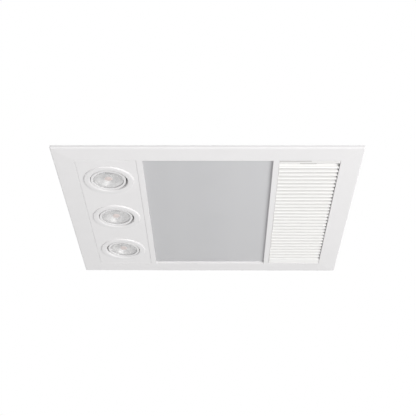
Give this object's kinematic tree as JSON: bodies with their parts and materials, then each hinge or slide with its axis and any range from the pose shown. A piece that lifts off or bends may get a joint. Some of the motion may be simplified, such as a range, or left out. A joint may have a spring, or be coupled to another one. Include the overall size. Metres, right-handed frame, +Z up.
{
  "type": "bathroom ceiling heater with extractor fan and lamps",
  "caption": "White ceiling unit: frosted radiant heater glass, louvred exhaust grille over a centrifugal fan, and tilting round lamps in one flat fascia.",
  "frame": {"origin": "under the middle of the fascia, level with the lowest rims of the lamps", "axes": "+X across the modules from the lamps to the grille, +Y along the modules towards the duct, +Z up into the ceiling"},
  "size_m": [0.475, 0.418, 0.1894],
  "materials": {
    "fascia_white": "satin white moulding",
    "bezel_white": "smooth white",
    "grille_white": "satin warm white",
    "frosted_glass": "grey, frosted on the room side",
    "clear_lens": "clear",
    "lamp_mirror": "bright, faceted",
    "phosphor": "pinkish-orange phosphor",
    "cast_aluminium": "die-cast, plain",
    "spring_steel": "bright wire",
    "gasket_rubber": "woven heat-proof tape",
    "zinc_steel": "zinc plated",
    "bright_aluminium": "polished sheet",
    "ruby_quartz": "red coated quartz",
    "ceramic": "unglazed ceramic",
    "galvanised": "galvanised sheet",
    "white_nylon": "plain moulding",
    "motor_paint": "light grey paint",
    "black_plastic": "black moulding",
    "grey_plastic": "grey moulding"
  },
  "bodies": {
    "unit": {"fascia_frame": "fascia_white", "light_plate": "fascia_white", "lamp_bezel_1": "bezel_white", "lamp_bezel_2": "bezel_white", "lamp_bezel_3": "bezel_white", "heater_glass": "frosted_glass", "bezel_spring_1_left": "spring_steel", "bezel_spring_1_right": "spring_steel", "bezel_spring_2_left": "spring_steel", "bezel_spring_2_right": "spring_steel", "bezel_spring_3_left": "spring_steel", "bezel_spring_3_right": "spring_steel", "glass_gasket": "gasket_rubber", "glass_rail_left": "zinc_steel", "glass_rail_right": "zinc_steel", "inlet_ring": "zinc_steel", "reflector_tray": "bright_aluminium", "heating_tube_1": "ruby_quartz", "heating_tube_2": "ruby_quartz", "tube_holder_1_far": "ceramic", "tube_holder_1_near": "ceramic", "tube_holder_2_far": "ceramic", "tube_holder_2_near": "ceramic", "housing_tray": "galvanised", "scroll_housing": "galvanised", "led_driver": "white_nylon", "terminal_block": "white_nylon", "fan_motor": "motor_paint", "duct_adaptor": "black_plastic", "cable_gland": "black_plastic", "thermal_cutout": "black_plastic", "terminal_box": "grey_plastic", "terminal_box_lid": "grey_plastic"},
    "lamp_1": {"gimbal_ring_1": "bezel_white", "lamp_lens_1": "clear_lens", "lamp_reflector_1": "lamp_mirror", "led_emitter_1": "phosphor", "heat_sink_1": "cast_aluminium"},
    "lamp_2": {"gimbal_ring_2": "bezel_white", "lamp_lens_2": "clear_lens", "lamp_reflector_2": "lamp_mirror", "led_emitter_2": "phosphor", "heat_sink_2": "cast_aluminium"},
    "lamp_3": {"gimbal_ring_3": "bezel_white", "lamp_lens_3": "clear_lens", "lamp_reflector_3": "lamp_mirror", "led_emitter_3": "phosphor", "heat_sink_3": "cast_aluminium"},
    "rotor": {"impeller": "white_nylon", "motor_shaft": "spring_steel"},
    "flap": {"draught_flap": "grey_plastic"},
    "grille": {"exhaust_grille": "grille_white"},
    "clamp_screw_body_1": {"clamp_screw_1": "zinc_steel"},
    "clamp_arm_body_1": {"ceiling_clamp_1": "white_nylon"},
    "clamp_screw_body_2": {"clamp_screw_2": "zinc_steel"},
    "clamp_arm_body_2": {"ceiling_clamp_2": "white_nylon"},
    "clamp_screw_body_3": {"clamp_screw_3": "zinc_steel"},
    "clamp_arm_body_3": {"ceiling_clamp_3": "white_nylon"},
    "clamp_screw_body_4": {"clamp_screw_4": "zinc_steel"},
    "clamp_arm_body_4": {"ceiling_clamp_4": "white_nylon"}
  },
  "joints": [
    {"name": "lamp_tilt_1", "type": "hinge", "parent": "unit", "child": "lamp_1", "pos_m": [-0.15725, -0.1189, 0.0054], "axis": [0, 1, 0], "range_deg": [-19, 21]},
    {"name": "lamp_tilt_2", "type": "hinge", "parent": "unit", "child": "lamp_2", "pos_m": [-0.15725, 0, 0.0054], "axis": [0, 1, 0], "range_deg": [-18.4, 21.6]},
    {"name": "lamp_tilt_3", "type": "hinge", "parent": "unit", "child": "lamp_3", "pos_m": [-0.15725, 0.1189, 0.0054], "axis": [0, 1, 0], "range_deg": [-22.4, 17.6]},
    {"name": "impeller_spin", "type": "hinge", "parent": "unit", "child": "rotor", "pos_m": [0.1, -0.02, 0.12], "axis": [0, 0, 1], "continuous": true},
    {"name": "flap_swing", "type": "hinge", "parent": "unit", "child": "flap", "pos_m": [0.16902, 0.082, 0.1468], "axis": [1, 0, 0], "range_deg": [0, 80]},
    {"name": "grille_open", "type": "hinge", "parent": "unit", "child": "grille", "pos_m": [0.15775, 0.1725, 0.0039], "axis": [1, 0, 0], "range_deg": [0, 85]},
    {"name": "clamp_swing_1", "type": "hinge", "parent": "unit", "child": "clamp_screw_body_1", "pos_m": [-0.15, 0.1898, 0.008], "axis": [0, 0, 1], "range_deg": [0, 90]},
    {"name": "clamp_draw_1", "type": "slide", "parent": "clamp_screw_body_1", "child": "clamp_arm_body_1", "axis": [0, 0, 1], "range_m": [-0.02, 0]},
    {"name": "clamp_swing_2", "type": "hinge", "parent": "unit", "child": "clamp_screw_body_2", "pos_m": [0.15, 0.1898, 0.008], "axis": [0, 0, 1], "range_deg": [0, 90]},
    {"name": "clamp_draw_2", "type": "slide", "parent": "clamp_screw_body_2", "child": "clamp_arm_body_2", "axis": [0, 0, 1], "range_m": [-0.02, 0]},
    {"name": "clamp_swing_3", "type": "hinge", "parent": "unit", "child": "clamp_screw_body_3", "pos_m": [-0.15, -0.1898, 0.008], "axis": [0, 0, 1], "range_deg": [0, 90]},
    {"name": "clamp_draw_3", "type": "slide", "parent": "clamp_screw_body_3", "child": "clamp_arm_body_3", "axis": [0, 0, 1], "range_m": [-0.02, 0]},
    {"name": "clamp_swing_4", "type": "hinge", "parent": "unit", "child": "clamp_screw_body_4", "pos_m": [0.15, -0.1898, 0.008], "axis": [0, 0, 1], "range_deg": [0, 90]},
    {"name": "clamp_draw_4", "type": "slide", "parent": "clamp_screw_body_4", "child": "clamp_arm_body_4", "axis": [0, 0, 1], "range_m": [-0.02, 0]}
  ]
}
